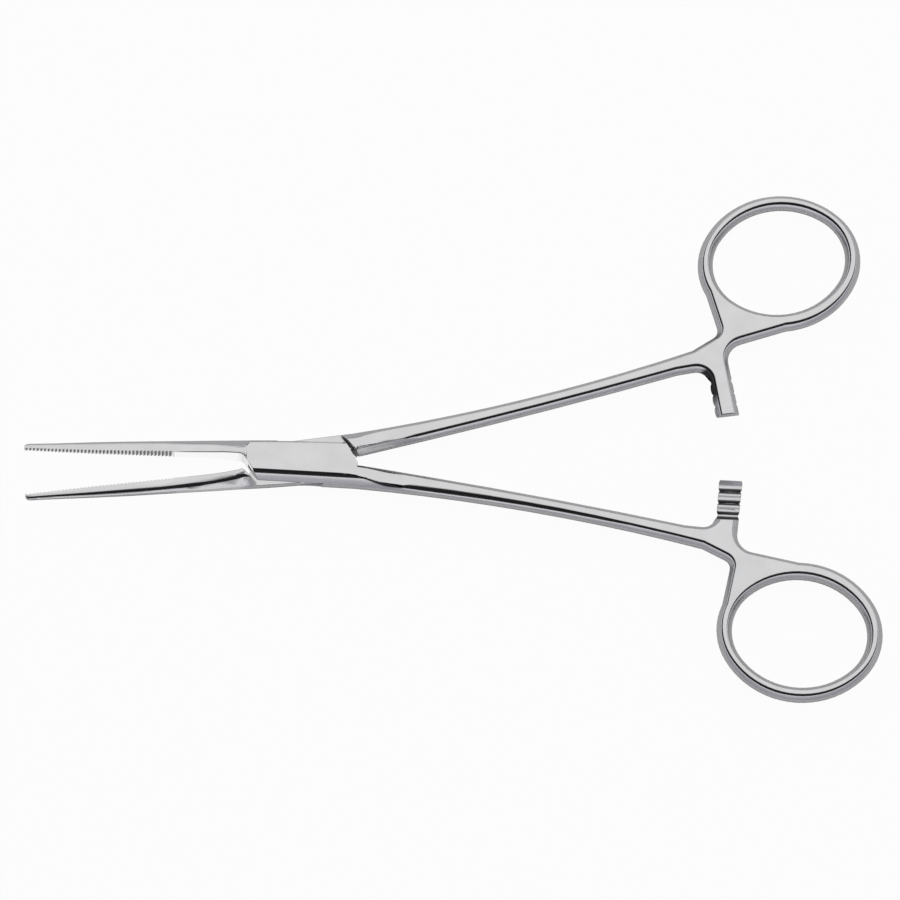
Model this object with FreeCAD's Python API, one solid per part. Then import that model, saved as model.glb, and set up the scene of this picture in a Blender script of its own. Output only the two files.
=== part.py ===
import FreeCAD, Part
import math
import os

# Straight haemostatic forceps with a box lock, 14 cm, lying flat on its side and slightly open.
# Sizes are in millimetres. Both halves are described closed, with the jaws at -X and the finger
# rings at +X. The Z axis is the axis of the lock pin and z = 0 is the underside of the box.

V = FreeCAD.Vector
UP = V(0, 0, 1)

# forged section: thickness, upright land at the middle, and how far each level is set in
opening_deg = 10.0
box_thickness = 4.2
shank_thickness = 2.7
edge_land = 0.7
band_height = 1.82
side_inset = 0.82
band_inset = 1.25
flat_inset = 1.78
crisp_band_inset = 0.9
crisp_flat_inset = 1.0

# box
box_top_y = 3.95
box_bottom_y = 3.93
box_shoulder_y = 3.75
jaw_shoulder_y = 2.95
plate_left_x = 6.45
plate_right_x = 6.9
notch_x = 9.4
closed_gap = 0.04
ramp_start_x = 6.8
ramp_end_x = 17.0

# jaw
jaw_root_x = 8.2
hollow_x = 9.3
hollow_y = 0.5
hollow_radius = 1.6
tip_x = 45.0
tip_height = 1.0
tip_gap = 0.02
tip_radius = 0.75
teeth_end_x = 20.8
tooth_pitch = 0.6
tooth_depth = 0.22
jaw_side_deg = 43.0
# distance from the pin, grasping face, outer edge and half thickness of the jaw's sections
jaw_sections = [
    (10.5, 0.58, 3.33, 1.85),
    (12.5, 0.62, 3.22, 1.62),
    (16.0, 0.56, 3.0, 1.33),
    (teeth_end_x, 0.43, 2.7, 1.12),
    (27.0, 0.28, 2.31, 0.95),
    (33.0, 0.13, 1.9, 0.8),
    (39.5, 0.05, 1.38, 0.64),
    (tip_x, tip_gap, tip_gap + tip_height, 0.48)]

# shank and finger ring
shank_start = (2.0, 0.85)
shank_middle = (30.0, -2.6)
shank_arm = (63.0, -7.7)
shank_join = (9.15, -4.0)
shank_back = (41.0, -7.02)
shank_bend_x = 66.0
shank_bend_y = 11.6
ring_x = 82.3
ring_y = 25.45
ring_bore_length = 21.9
ring_bore_width = 18.6
ring_end_radius = 8.0
ring_bar_width = 2.5
ring_bar_side = 0.8
ring_turn_deg = -4.0
ring_outer_shift = 0.2
neck_radius = 1.6

# ratchet arm
arm_left_x = 68.4
arm_width = 3.9
arm_reach = 0.75
arm_inner_radius = 2.2
arm_outer_radius = 3.0
arm_end_deg = 45.0
arm_foot = 0.25
ratchet_pitch = 2.0
ratchet_depth = 0.75
ratchet_crest = 0.2
ratchet_teeth = 3
catch_run = 0.8

# box lock
tongue_thickness = 1.3
tongue_play = 0.05
shoulder_distance = 8.0
shoulder_deg = 34.5
slot_wall_distance = 5.4
slot_wall_deg = 135.0
slot_reach = 12.5
tongue_wall_gap = 0.15
pin_diameter = 2.4
pin_play = 0.03

# derived values
half_box = box_thickness / 2.0
half_shank = shank_thickness / 2.0
half_land = edge_land / 2.0
half_tongue = tongue_thickness / 2.0
tall = box_thickness * 2.0
far = 60.0
shank_inner = (shank_start, shank_middle, shank_arm)
shank_outer = ((shank_bend_x, -shank_bend_y), shank_back, shank_join)
box_corner = (shank_start[0], -box_bottom_y)
full_levels = [(half_shank, side_inset), (band_height, band_inset), (half_box, flat_inset)]
shank_levels = [(half_shank, side_inset)]
crisp_insets = [side_inset, crisp_band_inset, crisp_flat_inset]


def line(a, b):
    return Part.LineSegment(V(a[0], a[1], 0), V(b[0], b[1], 0)).toShape()


def arc(a, b, c):
    return Part.Arc(V(a[0], a[1], 0), V(b[0], b[1], 0), V(c[0], c[1], 0)).toShape()


def height_on(points, x):
    """Height at x of the arc through three points, on the side of its middle point."""
    circle = arc(*points).Curve
    rise = math.sqrt(circle.Radius ** 2 - (x - circle.Center.x) ** 2)
    side = 1 if points[1][1] > circle.Center.y else -1
    return circle.Center.y + side * rise


def arc_between(points, start_x, end_x):
    """Part of the arc through three points, from one x to another."""
    places = [(x, height_on(points, x)) for x in (start_x, (start_x + end_x) / 2, end_x)]
    return arc(*places)


def blend(before, corner, after, radius):
    """Start, middle and end of the arc that rounds a corner between two lines."""
    a = V(before[0] - corner[0], before[1] - corner[1], 0).normalize()
    b = V(after[0] - corner[0], after[1] - corner[1], 0).normalize()
    half_angle = a.getAngle(b) / 2
    back = radius / math.tan(half_angle)
    axis = (a + b).normalize()
    middle = radius / math.sin(half_angle) - radius
    places = (a * back, axis * middle, b * back)
    return [(corner[0] + p.x, corner[1] + p.y) for p in places]


def closed_path(points):
    loop = list(points) + [points[0]]
    return [line(loop[i], loop[i + 1]) for i in range(len(points))]


def prism(edges, low=-tall, high=tall):
    face = Part.Face(Part.Wire(edges))
    face.translate(V(0, 0, low))
    return face.extrude(V(0, 0, high - low))


def mirror_z(shape):
    return shape.mirror(V(0, 0, 0), UP)


def mirror_y(shape):
    return shape.mirror(V(0, 0, 0), V(0, 1, 0))


def chain(edges):
    """Links of a closed outline run anticlockwise: start, middle, end and centre, None for a line."""
    ordered = Part.sortEdges(edges)[0]
    ends = [(e.valueAt(e.FirstParameter), e.valueAt(e.LastParameter)) for e in ordered]
    touch = min((ends[0][1] - p).Length for p in ends[1])
    here = ends[0][0] if touch < 0.001 else ends[0][1]
    links = []
    for edge, (a, b) in zip(ordered, ends):
        forward = (a - here).Length < (b - here).Length
        start, end = (a, b) if forward else (b, a)
        middle = edge.valueAt((edge.FirstParameter + edge.LastParameter) / 2)
        centre = edge.Curve.Center if isinstance(edge.Curve, Part.Circle) else None
        links.append((start, middle, end, centre))
        here = end
    area = sum(s.x * m.y - m.x * s.y + m.x * e.y - e.x * m.y for s, m, e, _ in links)
    if area < 0:
        links = [(end, middle, start, centre) for start, middle, end, centre in reversed(links)]
    return links


def heading(link, at_end):
    """Unit direction of travel at the start or the end of a link."""
    start, middle, end, centre = link
    if centre is None:
        return (end - start).normalize()
    across = (end if at_end else start) - centre
    turn = UP.cross(across).normalize()
    forward = (end - middle) if at_end else (middle - start)
    return turn if turn.dot(forward) > 0 else turn * -1


def inward_radius(link, distance):
    start, middle, end, centre = link
    inward = UP.cross(heading(link, False))
    radius = (start - centre).Length
    return radius - distance if inward.dot(centre - start) > 0 else radius + distance


def offset_miss(link, corner, normal, distance, point):
    """Direction and distance by which a point misses a link that has moved inwards."""
    if link[3] is None:
        return normal, (point - corner).dot(normal) - distance
    out = point - link[3]
    length = out.Length
    return out * (1 / length), length - inward_radius(link, distance)


def meeting(a, b, distance_a, distance_b):
    """Where two neighbouring links meet once each has moved inwards by its own distance."""
    corner = a[2]
    normal_a = UP.cross(heading(a, True))
    normal_b = UP.cross(heading(b, False))
    guess = corner + normal_a * (distance_a / 2) + normal_b * (distance_b / 2)
    if normal_a.getAngle(normal_b) < 0.002:
        return guess
    for _ in range(12):
        p, miss_a = offset_miss(a, corner, normal_a, distance_a, guess)
        q, miss_b = offset_miss(b, corner, normal_b, distance_b, guess)
        cross = p.x * q.y - p.y * q.x
        step_x = (miss_a * q.y - miss_b * p.y) / cross
        step_y = (miss_b * p.x - miss_a * q.x) / cross
        guess = guess - V(step_x, step_y, 0)
    return guess


def inset(links, distances):
    """The outline with each link moved inwards by its own distance."""
    count = len(links)
    corners = []
    for i in range(count):
        corners.append(meeting(links[i - 1], links[i], distances[i - 1], distances[i]))
    moved = []
    for i, link in enumerate(links):
        start = corners[i]
        end = corners[(i + 1) % count]
        centre = link[3]
        if centre is None:
            middle = (start + end) * 0.5
        else:
            between = ((start - centre).normalize() + (end - centre).normalize()).normalize()
            side = 1 if between.dot(link[1] - centre) > 0 else -1
            middle = centre + between * (side * inward_radius(link, distances[i]))
        moved.append((start, middle, end, centre))
    return moved


def outline_wire(links, height):
    edges = []
    for start, middle, end, centre in links:
        curve = Part.LineSegment(start, end) if centre is None else Part.Arc(start, middle, end)
        edges.append(curve.toShape())
    wire = Part.Wire(edges)
    wire.translate(V(0, 0, height))
    return wire


def forged(edges, levels, inner_insets=None):
    """Solid on an outline: an upright land, then a leaning side up to each (height, inset).

    The link that lies highest in Y may have insets of its own."""
    links = chain(edges)
    highest = max(range(len(links)), key=lambda i: links[i][1].y)
    core = Part.Face(outline_wire(links, -half_land)).extrude(V(0, 0, edge_land))
    wires = [outline_wire(links, half_land)]
    for i, (height, distance) in enumerate(levels):
        distances = [distance] * len(links)
        if inner_insets:
            distances[highest] = inner_insets[i]
        wires.append(outline_wire(inset(links, distances), height))
    layers = [Part.makeLoft([a, b], True, True) for a, b in zip(wires[:-1], wires[1:])]
    upper = layers[0].fuse(layers[1:]) if len(layers) > 1 else layers[0]
    return core.fuse([upper, mirror_z(upper)]).removeSplitter()


def oval(a, b, end_radius, x, y):
    """Edges of an oval of four tangent arcs."""
    side_radius = ((a - end_radius) ** 2 + b ** 2 - end_radius ** 2) / (2 * (b - end_radius))
    reach = a - end_radius
    drop = side_radius - b
    turn = math.atan2(drop, reach)

    def at(cx, cy, radius, angle):
        return (cx + radius * math.cos(angle), cy + radius * math.sin(angle))

    right = [at(reach, 0, end_radius, t) for t in (-turn, 0.0, turn)]
    left = [at(-reach, 0, end_radius, math.pi + t) for t in (-turn, 0.0, turn)]
    upper = at(0, -drop, side_radius, math.pi / 2)
    lower = at(0, drop, side_radius, -math.pi / 2)
    wire = Part.Wire([
        arc(*right), arc(right[2], upper, left[0]), arc(*left), arc(left[2], lower, right[0])])
    wire.rotate(V(0, 0, 0), UP, ring_turn_deg)
    wire.translate(V(x, y, 0))
    return wire.Edges


def upright_edge(solid, x, y):
    upright = [e for e in solid.Edges if e.BoundBox.ZLength > 2 * tall - 0.001]
    return min(upright, key=lambda e: math.hypot(e.BoundBox.Center.x - x, e.BoundBox.Center.y - y))


def handle_outline():
    """Outline of the shank, the ratchet arm and the outside of the ring."""
    outer_far = shank_outer[0]
    right = arm_left_x + arm_width
    ring_left = ring_x - ring_bore_length / 2 - ring_bar_width
    neck_low = (ring_left + 0.55, -ring_y + 2.95)
    hollow_corner = (arm_left_x + 2.4, -shank_bend_y - 2.3)
    hollow = blend(neck_low, hollow_corner, outer_far, neck_radius)
    arm_base = (arm_left_x + 1.1, shank_arm[1] - 0.4)
    gusset_start = (right - 1.3, -12.5)
    ring_side = (ring_x - 4.3, -ring_y + 7.45)
    shank = prism([
        arc(*shank_inner),
        line(shank_arm, arm_base),
        line(arm_base, gusset_start),
        line(gusset_start, ring_side),
        line(ring_side, neck_low),
        line(neck_low, hollow[0]),
        arc(*hollow),
        line(hollow[2], outer_far),
        arc(*shank_outer),
        line(shank_join, box_corner),
        line(box_corner, shank_start)])
    outer_a = ring_bore_length / 2 + ring_bar_width
    outer_b = ring_bore_width / 2 + ring_bar_width + ring_outer_shift
    ring = prism(oval(outer_a, outer_b, ring_end_radius + ring_bar_width, ring_x,
                      ring_outer_shift - ring_y))
    arm = prism(closed_path([
        (arm_left_x, 3.0), (arm_left_x - 0.45, shank_arm[1] - 1.8), (arm_left_x + 1.6, -13.0),
        (right - 0.9, -12.5), (right, 3.0)]))
    gusset_end = (ring_x + 4.2, -ring_y + 11.35)
    gusset = prism(closed_path([
        (right - 1.8, -11.2), gusset_end, ring_side, (right - 1.3, -14.0)]))
    body = shank.fuse([ring, arm, gusset]).removeSplitter()
    corners = ((arm_left_x - 0.4, shank_arm[1] - 0.2, arm_inner_radius),
               (right - 0.85, -11.4, arm_outer_radius))
    for x, y, radius in corners:
        body = body.makeFillet(radius, [upright_edge(body, x, y)])
    return body.slice(UP, 0.0)[0].Edges


def neck_outline():
    """Outline of the shank beside the box, where it is raised to the height of the box."""
    end_x = ramp_end_x + 5.0
    inner_end = (end_x, height_on(shank_inner, end_x))
    outer_end = (end_x, height_on(shank_outer, end_x))
    return [
        arc_between(shank_inner, shank_start[0], end_x),
        line(inner_end, outer_end),
        arc_between(shank_outer, end_x, shank_join[0]),
        line(shank_join, box_corner),
        line(box_corner, shank_start)]


def box_outline():
    """Outline of the box, longer than it is at both ends."""
    end_x = 16.0
    right_top = (end_x, box_top_y + 0.05)
    right_low = (end_x, height_on(shank_outer, end_x))
    left_low = (-end_x, -box_bottom_y + 0.13)
    left_top = (-end_x, jaw_shoulder_y)
    return [
        arc(left_top, (-3.0, box_shoulder_y), right_top),
        line(right_top, right_low),
        arc_between(shank_outer, end_x, shank_join[0]),
        line(shank_join, box_corner),
        arc(box_corner, (-5.0, -box_bottom_y + 0.07), left_low),
        line(left_low, left_top)]


def above_ramp():
    """What the front loses where the box comes down to the thickness of the shank."""
    mid_x = (ramp_start_x + ramp_end_x) / 2
    mid_z = (half_box + half_shank) / 2
    run = mid_x - ramp_start_x
    drop = half_box - mid_z
    bend = (run ** 2 + drop ** 2) / (2 * drop)
    sag = bend - math.sqrt(bend ** 2 - (run / 2) ** 2)

    def at(x, z):
        return V(x, -far / 2, z)

    corners = [at(ramp_end_x, half_shank), at(far, half_shank), at(far, tall),
               at(ramp_start_x, tall), at(ramp_start_x, half_box)]
    half_way = at(mid_x, mid_z)
    edges = [
        Part.Arc(corners[-1], at(ramp_start_x + run / 2, half_box - sag), half_way).toShape(),
        Part.Arc(half_way, at(ramp_end_x - run / 2, half_shank + sag), corners[0]).toShape()]
    for a, b in zip(corners[:-1], corners[1:]):
        edges.append(Part.LineSegment(a, b).toShape())
    upper = Part.Face(Part.Wire(edges)).extrude(V(0, far, 0))
    return upper.fuse(mirror_z(upper))


def box_plate():
    """Box from the root of the jaw to its slanted right end and the plane where the shank starts."""
    side = 1.5 * box_top_y
    slope = (notch_x - plate_right_x) / (box_top_y + closed_gap)
    right_top = (notch_x - slope * (side + closed_gap), side)
    keep = prism(closed_path([
        (-jaw_root_x, -side), (notch_x, -side), (notch_x, -closed_gap), right_top,
        (-jaw_root_x, side)]))
    return forged(box_outline(), full_levels, crisp_insets).common(keep)


def handle():
    """Shank, ratchet arm and finger ring, from the plane where the box ends."""
    body = forged(handle_outline(), shank_levels)
    neck = forged(neck_outline(), full_levels, crisp_insets)
    neck = neck.common(Part.makeBox(ramp_end_x + 2.0, far, 2 * tall, V(0, -far / 2, -tall)))
    neck = neck.cut(Part.makeBox(far, far, shank_thickness, V(0, -far / 2, -half_shank)))
    body = body.fuse(neck).removeSplitter()
    before_notch = Part.makeBox(far, far, 2 * tall, V(notch_x - far, -far / 2, -tall))
    past_middle = Part.makeBox(far / 2, far, 2 * tall, V(0, -closed_gap, -tall))
    links = chain(oval(ring_bore_length / 2, ring_bore_width / 2, ring_end_radius, ring_x, -ring_y))
    core = Part.Face(outline_wire(links, -half_land)).extrude(V(0, 0, edge_land))
    flare_top = 1.3 * half_shank
    lean = ring_bar_side / (half_shank - half_land)
    wide = inset(links, [lean * (half_land - flare_top)] * len(links))
    flare = Part.makeLoft([outline_wire(links, half_land), outline_wire(wide, flare_top)], True, True)
    return body.cut([before_notch, past_middle, core, flare, mirror_z(flare)])


def section_path(x, upper):
    """Closed cross-section at x, from the corners of its upper half and their mirror images."""
    corners = [V(x, y, z) for y, z in upper] + [V(x, y, -z) for y, z in reversed(upper)]
    return Part.makePolygon(corners + [corners[0]])


def jaw_corners(blank, inner, outer, front):
    """Upper corners of a jaw section: blank side, front, crowned band, leaning side, edge."""
    crease = 0.78 * front
    edge = min(half_land, 0.45 * crease)
    rim = outer - (crease - edge) / math.tan(math.radians(jaw_side_deg))
    width = rim - inner
    return [(blank, front), (inner + 0.42 * width, front),
            (inner + 0.8 * width, 0.35 * crease + 0.65 * front), (rim, crease), (outer, edge)]


def jaw(plate):
    """Jaw from the box to the tip, with metal to spare towards the other jaw."""
    blank = -box_bottom_y / 2
    ends = [f for f in plate.Faces if f.BoundBox.XMax < 0.001 - jaw_root_x]
    root = max(ends, key=lambda f: f.Area)
    corners = sorted((v.Y, v.Z) for v in root.Vertexes if v.Z > 0.001 and v.Y > 0.001)
    sections = [section_path(-jaw_root_x, [(blank, half_box)] + corners)]
    for distance, inner, outer, front in jaw_sections:
        sections.append(section_path(-distance, jaw_corners(blank, inner, outer, front)))
    loft = Part.makeLoft(sections, True, False)
    corner = tip_gap + tip_height
    cut = tip_radius * (1 - math.sqrt(0.5))
    round_tip = prism([
        line((-tip_x - 1, corner + 2), (-tip_x - 1, corner - tip_radius)),
        line((-tip_x - 1, corner - tip_radius), (-tip_x, corner - tip_radius)),
        arc((-tip_x, corner - tip_radius), (cut - tip_x, corner - cut), (tip_radius - tip_x, corner)),
        line((tip_radius - tip_x, corner), (tip_radius - tip_x, corner + 2)),
        line((tip_radius - tip_x, corner + 2), (-tip_x - 1, corner + 2))])
    return loft.cut(round_tip)


def grasping_height(x):
    """Height of the grasping face between the sections of the jaw."""
    for near_end, far_end in zip(jaw_sections[:-1], jaw_sections[1:]):
        if near_end[0] <= -x <= far_end[0]:
            share = (-x - near_end[0]) / (far_end[0] - near_end[0])
            return near_end[1] + share * (far_end[1] - near_end[1])
    return tip_gap


def grasping_cutter():
    """What is cut away towards the other jaw: left end of the box, hollow, grasping face, teeth."""
    side = 1.5 * box_top_y
    slope = (hollow_x - plate_left_x) / (hollow_y + box_bottom_y)
    low = (slope * (side - box_bottom_y) - plate_left_x, -side)
    path = [(-s[0], s[1]) for s in jaw_sections[1:] if s[0] <= teeth_end_x]
    hollow = blend(low, (-hollow_x, hollow_y), path[0], hollow_radius)
    count = int((tip_x - teeth_end_x) / tooth_pitch)
    for i in range(count):
        x = -teeth_end_x - (i + 0.5) * tooth_pitch
        path.append((x, grasping_height(x) + tooth_depth))
        x -= tooth_pitch / 2
        path.append((x, grasping_height(x)))
    end_x = -tip_x - 1.0
    path += [(end_x, tip_gap), (end_x, -side), low]
    edges = [line(low, hollow[0]), arc(*hollow), line(hollow[2], path[0])]
    for a, b in zip(path[:-1], path[1:]):
        edges.append(line(a, b))
    return prism(edges)


def arm_cutter():
    """Space in front of the ratchet arm: a round step down, then the teeth up to the end."""
    valley = ratchet_crest - ratchet_depth
    y = arm_reach
    profile = [(y + 4, valley), (y, valley)]
    for _ in range(ratchet_teeth):
        profile.append((y - ratchet_pitch + catch_run, ratchet_crest))
        profile.append((y - ratchet_pitch, valley))
        y -= ratchet_pitch
    foot = y - arm_foot
    profile.append((foot, valley))
    step = half_shank - valley
    top = half_shank + step
    x = arm_left_x - 2 * arm_width

    def at(y, z):
        return V(x, y, z)

    edges = []
    for a, b in zip(profile[:-1], profile[1:]):
        edges.append(Part.LineSegment(at(*a), at(*b)).toShape())
    bend = math.radians(arm_end_deg)
    middle = at(foot - 0.55 * step * math.sin(bend), valley + 0.9 * step * (1 - math.cos(bend)))
    end = at(foot - 0.62 * step, half_shank)
    edges.append(Part.Arc(at(foot, valley), middle, end).toShape())
    edges.append(Part.LineSegment(end, at(end.y, top)).toShape())
    edges.append(Part.LineSegment(at(end.y, top), at(profile[0][0], top)).toShape())
    edges.append(Part.LineSegment(at(profile[0][0], top), at(*profile[0])).toShape())
    return Part.Face(Part.Wire(edges)).extrude(V(4 * arm_width, 0, 0))


def half_body():
    """One half, closed, with a full box: jaw, box, shank, ratchet arm and ring."""
    plate = box_plate()
    body = plate.fuse([handle(), jaw(plate)])
    past_arm = Part.makeBox(4 * arm_width, far, 2 * tall, V(arm_left_x - 2 * arm_width, arm_reach, -tall))
    return body.cut([above_ramp(), grasping_cutter(), past_arm]).removeSplitter()


def wall_side(distance, turn_deg):
    """Everything beyond a wall at a distance from the pin axis, towards a direction."""
    block = Part.makeBox(far, 2 * far, 2 * tall, V(distance, -far, -tall))
    block.rotate(V(0, 0, 0), UP, turn_deg)
    return block


def pin_hole(diameter):
    return Part.makeCylinder(diameter / 2, 2 * tall, V(0, 0, -tall))


def female_half(body):
    """The half with the box, slotted for the tongue, and with the pin fixed in it."""
    height = tongue_thickness + 2 * tongue_play
    slot = Part.makeCylinder(slot_reach, height, V(0, 0, -height / 2))
    walls = [wall_side(slot_wall_distance, slot_wall_deg),
             wall_side(slot_wall_distance, slot_wall_deg - 180)]
    return body.cut([slot.cut(walls), pin_hole(pin_diameter), arm_cutter()])


def shoulder_block(low, high):
    """Block between the two shoulders of the tongue, from one height to another."""
    block = Part.makeBox(2 * shoulder_distance, far, high - low, V(-shoulder_distance, -far / 2, low))
    block.rotate(V(0, 0, 0), UP, shoulder_deg)
    return block


def male_half(body):
    """The half whose box is thinned to a tongue between two shoulders."""
    near = slot_wall_distance - tongue_wall_gap
    between = shoulder_block(-half_tongue, half_tongue)
    trims = [wall_side(near, slot_wall_deg).common(between),
             wall_side(near, slot_wall_deg - 180).common(between)]
    thinned = [shoulder_block(half_tongue, tall), shoulder_block(-tall, -half_tongue)]
    hole = pin_hole(pin_diameter + 2 * pin_play)
    return mirror_y(body).cut(thinned + trims + [hole, mirror_z(mirror_y(arm_cutter()))])


def lock_pin():
    return Part.makeCylinder(pin_diameter / 2, box_thickness, V(0, 0, -half_box))


def place(shape, turn_deg):
    """Opens a closed half about the pin and sets the underside of the box at z = 0."""
    shape.rotate(V(0, 0, 0), UP, turn_deg)
    shape.translate(V(0, 0, half_box))
    return shape


base_body = half_body()
pieces = {
    "box_half": place(female_half(base_body), -opening_deg / 2),
    "tongue_half": place(male_half(base_body), opening_deg / 2),
    "lock_pin": place(lock_pin(), -opening_deg / 2)}
os.makedirs("parts", exist_ok=True)
for name, shape in pieces.items():
    solid = shape.Solids[0]
    print(name, len(shape.Solids), "solids", solid.isValid(), round(solid.Volume, 2))
    solid.exportStep("parts/" + name + ".step")
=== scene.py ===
import math

import bmesh
import bpy
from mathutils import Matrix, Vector


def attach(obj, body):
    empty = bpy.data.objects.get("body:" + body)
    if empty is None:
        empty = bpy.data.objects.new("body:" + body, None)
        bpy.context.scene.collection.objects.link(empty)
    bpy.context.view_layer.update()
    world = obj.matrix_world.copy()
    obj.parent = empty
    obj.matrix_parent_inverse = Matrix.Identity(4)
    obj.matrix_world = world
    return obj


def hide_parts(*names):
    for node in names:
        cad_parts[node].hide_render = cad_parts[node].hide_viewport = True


# Straight box-lock artery forceps of polished steel, lying on a white table. Metres, CAD frame.

MM = 0.001

# height of the middle plane, and of the forged section's edges above and below it
MIDDLE = 2.1 * MM
LAND = 0.35 * MM
SHANK = 1.35 * MM
BAND = 1.82 * MM
BOX = 2.1 * MM

# along the forceps: the tips, where the teeth begin, where the jaws leave the box, where the box ends
TIP_X = -45.0 * MM
TEETH_X = -20.5 * MM
JAW_ROOT_X = -8.6 * MM
BOX_END_X = 9.0 * MM

# the flat faces are divided here, through the pin hole and the rings, so that none surrounds a hole
HOLE_CENTRES_X = (0.0, 79.8 * MM)

# clean-up of the solid's mesh, and the angle from which an edge is rounded
MERGE = 0.0005 * MM
ONE_FACE_DEG = 0.3
SHARP_DEG = 14.0

# how edges are told apart: height, tilt, length and run of a tooth's edge, distance of the pin's seam
SAME_HEIGHT = 0.02 * MM
LEVEL_TILT = 0.01 * MM
TOOTH_EDGE = 4.0 * MM
TOOTH_EDGE_RUN = 0.45 * MM
PIN_SEAM = 1.4 * MM

# rounding widths of the edges; the one of the lower shank narrows from the box to SHANK_EVEN_X
WIDEST = 0.8 * MM
SHANK_EVEN_X = 50.0 * MM
ROUND_LAND = 0.33 * MM
ROUND_FLAT = 0.34 * MM
ROUND_FLAT_NECK = 0.78 * MM
ROUND_FLAT_INNER = 0.38 * MM
ROUND_FLAT_TOP = 0.26 * MM
ROUND_BAND = 0.28 * MM
ROUND_BOX = 0.14 * MM
ROUND_JAW = 0.2 * MM
ROUND_TIP = 0.07 * MM
ROUND_SMALL = 0.05 * MM
ROUND_TOOTH = 0.02 * MM

# steel: colours, painted shade and painted highlight, gloss, wear of the edges, and turn of the polishing
# lines off the forceps' length
STEEL_COLOUR = (0.74, 0.74, 0.75)
# colour of the painted shade and painted dark reflections
PAINTED_SHADE_COLOUR = (0.025, 0.025, 0.027, 1.0)
# colour of the painted highlights
PAINTED_HIGHLIGHT_COLOUR = (0.97, 0.97, 0.97, 1.0)
ROUGHNESS = 0.10
WEAR = 0.6
PIN_WEAR = 0.3
GRAIN_TURN_DEG = 9.0
CLOUD_COLOUR = 0.93
WORN_COLOUR = 1.09
POINTED = (0.5, 0.62)

# pattern of the polish: its scales per metre, what it adds to the roughness, and its depth
LINES_SCALE = (120.0, 5200.0, 5200.0)
HAIRS_SCALE = (300.0, 14000.0, 14000.0)
HAIRS_TURN_DEG = 7.0
CLOUDS_SCALE = 260.0
SMEARS_SCALE = 55.0
SMEARS_ROUGH = 0.06
LINES_ROUGH = 0.04
WORN_SMOOTH = 0.04
BUMP_STRENGTH = 0.06
BUMP_DEPTH = 0.04 * MM
BUMP_LINES = 0.7
BUMP_HAIRS = 0.3

# painted shade in the grooves: how far off their walls count, the open share where the shade begins, and
# how dark it gets
GROOVE_REACH = 0.6 * MM
GROOVE_OPEN = (0.5, 0.93)
GROOVE_SHADE = 0.95

# Areas of painted shade, painted dark reflections and painted highlights on the steel. Each pair gives
# where the area begins and where it is full: X, Y and Z are places, REACH a distance from a place, FACING
# a part of the face's direction and BORDER a height above a line. DARK says how dark the painted shade
# gets.
TEETH_FADE = 0.2 * MM
ROOT_FADE = 2.0 * MM
FLANK_FACING_X = (0.2, 0.45)
FLANK_FACING_Z = (0.45, 0.3)
ARMS_X = (60.0 * MM, 61.0 * MM)
ARM_TEETH_Y = -8.4 * MM
ARM_TEETH_REACH = (3.4 * MM, 3.2 * MM)
STEP_FACING_Y = (-0.5, -0.65)
STEP_FOOT_Z = (2.0 * MM, 1.85 * MM)
STEP_FOOT_DARK = 0.92
STEP_CREST_Z = (1.85 * MM, 2.0 * MM)
ARM_SIDE_X = (70.0 * MM, 69.5 * MM)
ARM_SIDE_Y = 14.0 * MM
ARM_SIDE_REACH = (7.0 * MM, 4.5 * MM)
ARM_SIDE_FACING_X = (-0.25, -0.5)
ARM_SIDE_DARK = 0.95
NECK_START_X = (8.4 * MM, 8.6 * MM)
NECK_SLOPE_X = (8.6 * MM, 14.5 * MM)
NECK_SLOPE_Z = (3.95 * MM, 2.98 * MM)
NECK_BORDER = (0.0, 0.15 * MM)
NECK_END_X = (17.0 * MM, 16.2 * MM)
NECK_Y = (-2.8 * MM, -3.1 * MM)
NECK_FACING_Y = (-0.35, -0.55)
NECK_DARK = 0.97
WALL_FACING_Y = (0.8, 0.9)

# camera: the point it looks at, the way back to it, its distance, and its lens and sensor in mm
TARGET = Vector((24.5, 1.4, 2.1)) * MM
WAY_BACK = Vector((-0.01324, -0.36626, 0.9304)).normalized()
CAMERA_DISTANCE = 1.3
LENS = 319.0
SENSOR = 36.0

# table: half its side, the gap under the forceps, and its colour
TABLE_HALF = 6.0
TABLE_GAP = 0.02 * MM
TABLE_COLOUR = (0.9, 0.9, 0.9, 1.0)

# glow of the table: to the camera, in the steel, and what is added in the steel between the jaws
GLOW_TO_CAMERA = 0.96
GLOW_IN_STEEL = 0.05
GLOW_BETWEEN_JAWS = 0.9
BETWEEN_JAWS_X = (-5.0 * MM, -9.0 * MM)
BETWEEN_JAWS_REACH = (5.2 * MM, 4.2 * MM)

# studio: the lit ceiling behind the forceps, the pale horizon, and the heights where that one fades
CEILING_WAY = Vector((0.2, 0.5, 0.84)).normalized()
CEILING_EDGE = (math.radians(26.0), math.radians(46.0))
CEILING_COLOUR = (0.9, 0.9, 0.9, 1.0)
DARK_COLOUR = (0.015, 0.015, 0.017, 1.0)
HORIZON_Z = (0.49, 0.4)
LOW_SKY_Z = (0.1, 0.42)
LOW_SKY_COLOURS = ((0.36, 0.35, 0.39, 1.0), (0.95, 0.95, 0.97, 1.0))
WHITE = (1.0, 1.0, 1.0, 1.0)

# lamp: place, size in metres and power in watts
LAMP_PLACE = (0.25, 0.55, 0.95)
LAMP_SIZE = (0.8, 0.6)
LAMP_POWER = 1.4

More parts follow.
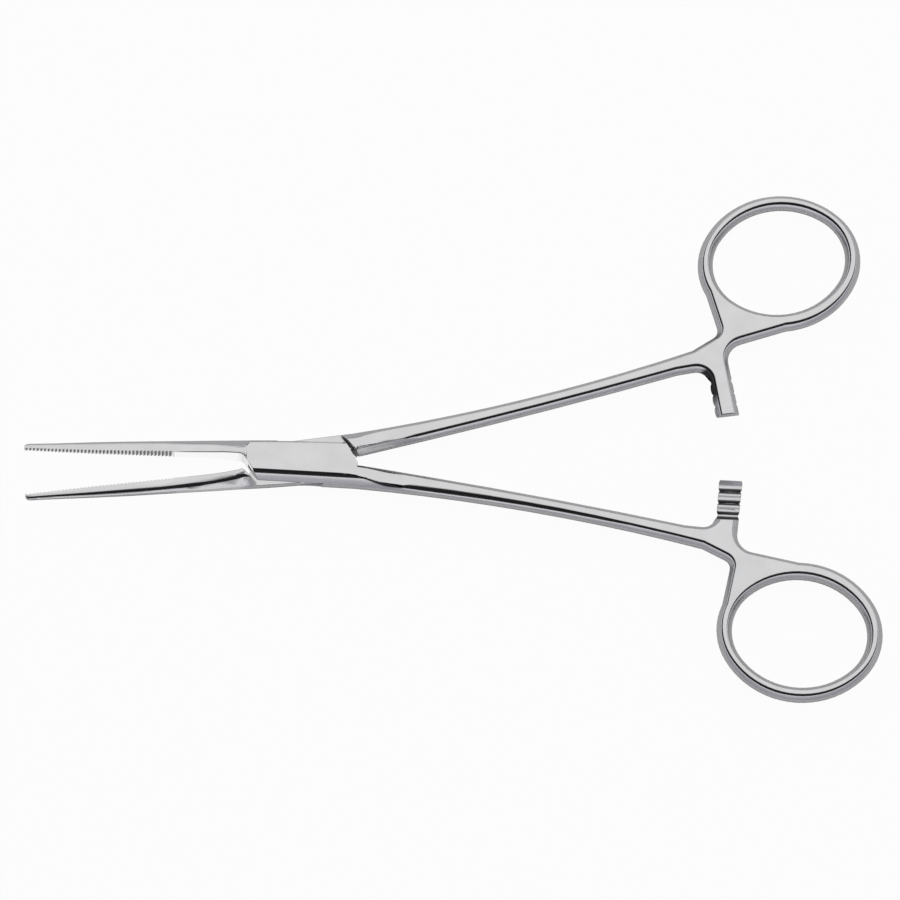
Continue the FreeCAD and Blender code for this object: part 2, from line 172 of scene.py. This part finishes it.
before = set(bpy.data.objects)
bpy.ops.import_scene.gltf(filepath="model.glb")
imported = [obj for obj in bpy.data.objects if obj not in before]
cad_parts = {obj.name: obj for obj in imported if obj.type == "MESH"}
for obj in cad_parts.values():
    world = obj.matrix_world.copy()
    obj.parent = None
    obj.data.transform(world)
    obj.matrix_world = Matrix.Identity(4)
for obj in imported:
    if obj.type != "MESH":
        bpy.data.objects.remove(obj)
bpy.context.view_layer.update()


class Nodes:
    """Short calls for one shader tree."""

    def __init__(self, tree):
        self.tree = tree
        tree.nodes.clear()

    def add(self, kind, **values):
        node = self.tree.nodes.new("ShaderNode" + kind)
        for name, value in values.items():
            setattr(node, name, value)
        return node

    def put(self, source, socket):
        """Link an output to the socket, or give the socket a value."""
        if isinstance(source, bpy.types.NodeSocket):
            self.tree.links.new(source, socket)
        else:
            socket.default_value = source

    def math(self, operation, *sources):
        node = self.add("Math", operation=operation)
        for i, source in enumerate(sources):
            self.put(source, node.inputs[i])
        return node.outputs[0]

    def product(self, result, *others):
        for other in others:
            result = self.math("MULTIPLY", result, other)
        return result

    def largest(self, result, *others):
        for other in others:
            result = self.math("MAXIMUM", result, other)
        return result

    def size(self, source):
        return self.math("ABSOLUTE", source)

    def distance(self, source, place):
        return self.size(self.math("SUBTRACT", source, place))

    def axes(self, vector):
        node = self.add("SeparateXYZ")
        self.put(vector, node.inputs[0])
        return [node.outputs[axis] for axis in "XYZ"]

    def ramp(self, source, low, high, to_low=0.0, to_high=1.0):
        node = self.add("MapRange", interpolation_type="SMOOTHSTEP")
        for name, value in (("Value", source), ("From Min", low), ("From Max", high),
                            ("To Min", to_low), ("To Max", to_high)):
            self.put(value, node.inputs[name])
        return node.outputs["Result"]

    def mix(self, factor, a, b):
        """Two colours: inputs 6 and 7 and output 2 are the colour sockets of the node."""
        node = self.add("Mix", data_type="RGBA")
        self.put(factor, node.inputs["Factor"])
        self.put(a, node.inputs[6])
        self.put(b, node.inputs[7])
        return node.outputs[2]

    def noise(self, vector, scale, detail, roughness=0.5):
        node = self.add("TexNoise")
        self.put(vector, node.inputs["Vector"])
        node.inputs["Scale"].default_value = scale
        node.inputs["Detail"].default_value = detail
        node.inputs["Roughness"].default_value = roughness
        return node.outputs["Fac"]

    def scaled(self, vector, scale, turn_deg):
        node = self.add("Mapping")
        self.put(vector, node.inputs["Vector"])
        node.inputs["Scale"].default_value = scale
        node.inputs["Rotation"].default_value = (0.0, 0.0, math.radians(turn_deg))
        return node.outputs["Vector"]


def ratchet_steps(n, where, facing):
    """The steep faces of the ratchet teeth on the lower arm."""
    from_teeth = n.distance(where[1], ARM_TEETH_Y)
    return n.product(n.ramp(where[0], *ARMS_X), n.ramp(from_teeth, *ARM_TEETH_REACH),
                     n.ramp(facing[1], *STEP_FACING_Y))


def painted_shade_areas(n, where, facing, steps):
    """Painted shade and painted dark reflections: flanks of the serrations, feet of the ratchet teeth, left
    side of the upper arm, band on the neck.
    """
    flanks = n.product(n.ramp(where[0], TEETH_X, TEETH_X - TEETH_FADE), n.ramp(facing[0], *FLANK_FACING_X),
                       n.ramp(n.size(facing[2]), *FLANK_FACING_Z))
    feet = n.product(steps, n.ramp(where[2], *STEP_FOOT_Z, 0.0, STEP_FOOT_DARK))
    from_arm = n.distance(where[1], ARM_SIDE_Y)
    arm_side = n.product(n.ramp(where[0], *ARMS_X),
                         n.ramp(from_arm, *ARM_SIDE_REACH, 0.0, ARM_SIDE_DARK),
                         n.ramp(where[0], *ARM_SIDE_X), n.ramp(facing[0], *ARM_SIDE_FACING_X))
    neck_border = n.ramp(where[0], *NECK_SLOPE_X, *NECK_SLOPE_Z)
    above_border = n.math("SUBTRACT", where[2], neck_border)
    band = n.product(n.ramp(above_border, *NECK_BORDER, 0.0, NECK_DARK),
                     n.ramp(where[0], *NECK_START_X), n.ramp(where[0], *NECK_END_X),
                     n.ramp(facing[1], *NECK_FACING_Y), n.ramp(where[1], *NECK_Y))
    return n.largest(flanks, feet, arm_side, band)


def painted_highlight_areas(n, where, facing, steps):
    """Painted highlights: walls of the jaws behind the teeth, and crests of the ratchet teeth."""
    wall = n.product(n.ramp(where[0], TEETH_X, TEETH_X + TEETH_FADE),
                     n.ramp(where[0], JAW_ROOT_X, JAW_ROOT_X - ROOT_FADE),
                     n.ramp(n.size(facing[1]), *WALL_FACING_Y))
    return n.largest(wall, n.product(steps, n.ramp(where[2], *STEP_CREST_Z)))


def steel(name, grain_turn_deg, wear):
    """Polished stainless steel: faint polishing lines, cloudy gloss, bright worn edges, painted shade in
    the grooves, painted highlights and dark reflections.
    """
    material = bpy.data.materials.new(name)
    material.use_nodes = True
    n = Nodes(material.node_tree)
    coordinates = n.add("TexCoord")
    place = coordinates.outputs["Object"]
    where = n.axes(place)
    facing = n.axes(coordinates.outputs["Normal"])
    lines = n.noise(n.scaled(place, LINES_SCALE, grain_turn_deg), scale=1.0, detail=2.0)
    hairs = n.noise(n.scaled(place, HAIRS_SCALE, grain_turn_deg + HAIRS_TURN_DEG), scale=1.0, detail=1.0)
    clouds = n.noise(place, CLOUDS_SCALE, detail=4.0)
    smears = n.noise(place, SMEARS_SCALE, detail=3.0, roughness=0.6)
    worn = n.ramp(n.add("NewGeometry").outputs["Pointiness"], *POINTED)
    # ambient occlusion paints shade into the grooves, notches and seams
    groove = n.add("AmbientOcclusion", samples=8, only_local=True)
    groove.inputs["Distance"].default_value = GROOVE_REACH
    grooves = n.ramp(groove.outputs["AO"], *GROOVE_OPEN, GROOVE_SHADE, 0.0)
    steps = ratchet_steps(n, where, facing)

    darker = tuple(c * CLOUD_COLOUR for c in STEEL_COLOUR) + (1.0,)
    brighter = tuple(c * WORN_COLOUR for c in STEEL_COLOUR) + (1.0,)
    base = n.mix(n.ramp(clouds, 0.25, 0.75), darker, STEEL_COLOUR + (1.0,))
    base = n.mix(n.product(worn, wear), base, brighter)
    # painted highlights on the jaws' walls and the ratchet crests
    base = n.mix(painted_highlight_areas(n, where, facing, steps), base, PAINTED_HIGHLIGHT_COLOUR)
    # painted shade in the grooves, and painted dark reflections on the flanks, ratchet feet, upper arm's
    # side and neck band
    base = n.mix(n.largest(grooves, painted_shade_areas(n, where, facing, steps)), base, PAINTED_SHADE_COLOUR)

    rough = n.math("ADD", ROUGHNESS, n.product(smears, SMEARS_ROUGH))
    rough = n.math("ADD", rough, n.product(lines, LINES_ROUGH))
    rough = n.math("SUBTRACT", rough, n.product(worn, WORN_SMOOTH))
    bump = n.add("Bump")
    bump.inputs["Strength"].default_value = BUMP_STRENGTH
    bump.inputs["Distance"].default_value = BUMP_DEPTH
    height = n.math("ADD", n.product(lines, BUMP_LINES), n.product(hairs, BUMP_HAIRS))
    n.put(height, bump.inputs["Height"])

    shader = n.add("BsdfPrincipled")
    shader.inputs["Metallic"].default_value = 1.0
    shader.inputs["Anisotropic"].default_value = 0.25
    n.put(base, shader.inputs["Base Color"])
    n.put(rough, shader.inputs["Roughness"])
    n.put(bump.outputs["Normal"], shader.inputs["Normal"])
    n.put(shader.outputs["BSDF"], n.add("OutputMaterial").inputs["Surface"])
    return material


def at_height(value, level):
    return abs(abs(value - MIDDLE) - level) < SAME_HEIGHT


def edge_rounding(edge):
    """Width of the rounding of one sharp edge, from where it lies on the forceps."""
    a, b = (v.co for v in edge.verts)
    length = (a - b).length
    middle = (a + b) / 2
    if math.hypot(middle.x, middle.y) < PIN_SEAM:
        return 0.0
    if middle.x < TEETH_X and length < TOOTH_EDGE and abs(a.x - b.x) < TOOTH_EDGE_RUN:
        return ROUND_TOOTH
    if middle.x < JAW_ROOT_X:
        share = (middle.x - JAW_ROOT_X) / (TIP_X - JAW_ROOT_X)
        return ROUND_JAW + (ROUND_TIP - ROUND_JAW) * min(share, 1.0)
    level = abs(a.z - b.z) < LEVEL_TILT
    if level and at_height(middle.z, LAND):
        return ROUND_LAND
    if level and at_height(middle.z, SHANK) and middle.x > BOX_END_X:
        side = min(edge.link_faces, key=lambda face: abs(face.normal.z))
        front = (1.0 - side.normal.y / math.hypot(side.normal.x, side.normal.y)) / 2
        widest = ROUND_FLAT_INNER
        if middle.y < 0.0:
            share = max(0.0, (SHANK_EVEN_X - middle.x) / (SHANK_EVEN_X - BOX_END_X))
            widest = ROUND_FLAT + (ROUND_FLAT_NECK - ROUND_FLAT) * share
        return ROUND_FLAT_TOP + (widest - ROUND_FLAT_TOP) * front
    if level and at_height(middle.z, BAND):
        return ROUND_BAND
    if level and at_height(middle.z, BOX):
        return ROUND_BOX
    return ROUND_SMALL


def clean_faces(bm):
    """Join the triangles of each flat face, and divide the flat faces through their holes."""
    bmesh.ops.remove_doubles(bm, verts=bm.verts, dist=MERGE)
    for x in HOLE_CENTRES_X:
        parts = list(bm.verts) + list(bm.edges) + list(bm.faces)
        cut = bmesh.ops.bisect_plane(bm, geom=parts, dist=MERGE, plane_co=(x, 0, 0), plane_no=(1, 0, 0))
        for item in cut["geom_cut"]:
            if isinstance(item, bmesh.types.BMEdge):
                item.seam = True
    bmesh.ops.dissolve_limit(bm, angle_limit=math.radians(ONE_FACE_DEG), verts=bm.verts, edges=bm.edges,
                             use_dissolve_boundaries=False, delimit={"SEAM"})
    bmesh.ops.dissolve_degenerate(bm, dist=MERGE, edges=bm.edges)
    bm.normal_update()


def dressed(node, body, material):
    """Show the CAD solid as a steel piece with rounded edges."""
    bm = bmesh.new()
    bm.from_mesh(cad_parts[node].data)
    clean_faces(bm)
    weights = bm.edges.layers.float.new("bevel_weight_edge")
    for edge in bm.edges:
        if edge.is_manifold and edge.calc_face_angle(0.0) > math.radians(SHARP_DEG):
            rounding = edge_rounding(edge)
            edge[weights] = rounding / WIDEST
            edge.smooth = rounding > 0.0
    for face in bm.faces:
        face.smooth = True
    mesh = bpy.data.meshes.new(node + "_steel")
    bm.to_mesh(mesh)
    bm.free()
    mesh.materials.append(material)
    piece = bpy.data.objects.new(node + "_steel", mesh)
    bpy.context.scene.collection.objects.link(piece)
    bevel = piece.modifiers.new("rounded edges", "BEVEL")
    bevel.limit_method = "WEIGHT"
    bevel.width = WIDEST
    bevel.segments = 3
    bevel.use_clamp_overlap = False
    bevel.miter_outer = "MITER_SHARP"
    normals = piece.modifiers.new("even normals", "WEIGHTED_NORMAL")
    normals.mode = "FACE_AREA_WITH_ANGLE"
    normals.weight = 50
    normals.keep_sharp = True
    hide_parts(node)
    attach(piece, body)


def add_camera():
    """The camera, where the photograph was taken."""
    data = bpy.data.cameras.new("camera")
    data.sensor_width = SENSOR
    data.lens = LENS
    data.clip_start = 0.01
    data.clip_end = 20.0
    camera = bpy.data.objects.new("camera", data)
    bpy.context.scene.collection.objects.link(camera)
    camera.location = TARGET + WAY_BACK * CAMERA_DISTANCE
    camera.rotation_mode = "QUATERNION"
    camera.rotation_quaternion = (-WAY_BACK).to_track_quat("-Z", "Y")
    bpy.context.scene.camera = camera


def white_paper():
    """White table top. It glows to the camera, and less in the steel, except between the jaws."""
    material = bpy.data.materials.new("white_table")
    material.use_nodes = True
    n = Nodes(material.node_tree)
    diffuse = n.add("BsdfDiffuse")
    diffuse.inputs["Color"].default_value = TABLE_COLOUR
    glow = n.add("Emission")
    glow.inputs["Color"].default_value = WHITE
    rays = n.add("LightPath")
    x, y, _ = n.axes(n.add("NewGeometry").outputs["Position"])
    between_jaws = n.product(n.ramp(x, *BETWEEN_JAWS_X), n.ramp(n.size(y), *BETWEEN_JAWS_REACH))
    in_steel = n.math("ADD", GLOW_IN_STEEL, n.product(between_jaws, GLOW_BETWEEN_JAWS))
    white = n.product(rays.outputs["Is Camera Ray"], GLOW_TO_CAMERA)
    mirrored = n.product(rays.outputs["Is Glossy Ray"], in_steel)
    both = n.add("MixShader")
    n.put(n.largest(white, mirrored), both.inputs[0])
    n.put(diffuse.outputs[0], both.inputs[1])
    n.put(glow.outputs[0], both.inputs[2])
    n.put(both.outputs[0], n.add("OutputMaterial").inputs["Surface"])
    return material


def add_table():
    mesh = bpy.data.meshes.new("table")
    corners = [(TABLE_HALF * i, TABLE_HALF * j, 0.0) for i, j in ((-1, -1), (1, -1), (1, 1), (-1, 1))]
    mesh.from_pydata(corners, [], [(0, 1, 2, 3)])
    mesh.materials.append(white_paper())
    floor = bpy.data.objects.new("table", mesh)
    floor.location.z = -TABLE_GAP
    bpy.context.scene.collection.objects.link(floor)


def light_studio():
    """Soft light: a wide lit ceiling behind the forceps, a dark studio and a pale horizon."""
    world = bpy.data.worlds.new("studio")
    bpy.context.scene.world = world
    world.use_nodes = True
    n = Nodes(world.node_tree)
    direction = n.add("TexCoord").outputs["Generated"]
    height = n.axes(direction)[2]
    along = n.add("VectorMath", operation="DOT_PRODUCT")
    n.put(direction, along.inputs[0])
    along.inputs[1].default_value = CEILING_WAY
    away = n.math("ARCCOSINE", along.outputs["Value"])
    ceiling = n.ramp(away, *CEILING_EDGE, 1.0, 0.0)
    horizon = n.product(n.ramp(height, *HORIZON_Z), n.math("SUBTRACT", 1.0, ceiling))
    low_sky = n.mix(n.ramp(height, *LOW_SKY_Z), *LOW_SKY_COLOURS)
    colour = n.mix(ceiling, DARK_COLOUR, CEILING_COLOUR)
    colour = n.mix(horizon, colour, low_sky)
    seen = n.add("LightPath").outputs["Is Camera Ray"]
    background = n.add("Background")
    n.put(n.mix(seen, colour, WHITE), background.inputs["Color"])
    background.inputs["Strength"].default_value = 1.0
    n.put(background.outputs[0], n.add("OutputWorld").inputs["Surface"])


def add_lamp():
    """A softbox over the far side, which the steel doesn't mirror."""
    data = bpy.data.lights.new("softbox", "AREA")
    data.shape = "RECTANGLE"
    data.size, data.size_y = LAMP_SIZE
    data.energy = LAMP_POWER
    lamp = bpy.data.objects.new("softbox", data)
    lamp.visible_glossy = False
    lamp.location = LAMP_PLACE
    lamp.rotation_mode = "QUATERNION"
    lamp.rotation_quaternion = (-lamp.location.normalized()).to_track_quat("-Z", "Y")
    bpy.context.scene.collection.objects.link(lamp)


dressed("box_half", "box_body", steel("polished_steel_lower", GRAIN_TURN_DEG, WEAR))
dressed("tongue_half", "tongue_body", steel("polished_steel_upper", -GRAIN_TURN_DEG, WEAR))
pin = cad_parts["lock_pin"]
pin.data.materials.clear()
pin.data.materials.append(steel("polished_steel_pin", GRAIN_TURN_DEG, PIN_WEAR))
add_camera()
add_table()
light_studio()
add_lamp()
bpy.context.scene.view_settings.view_transform = "Standard"
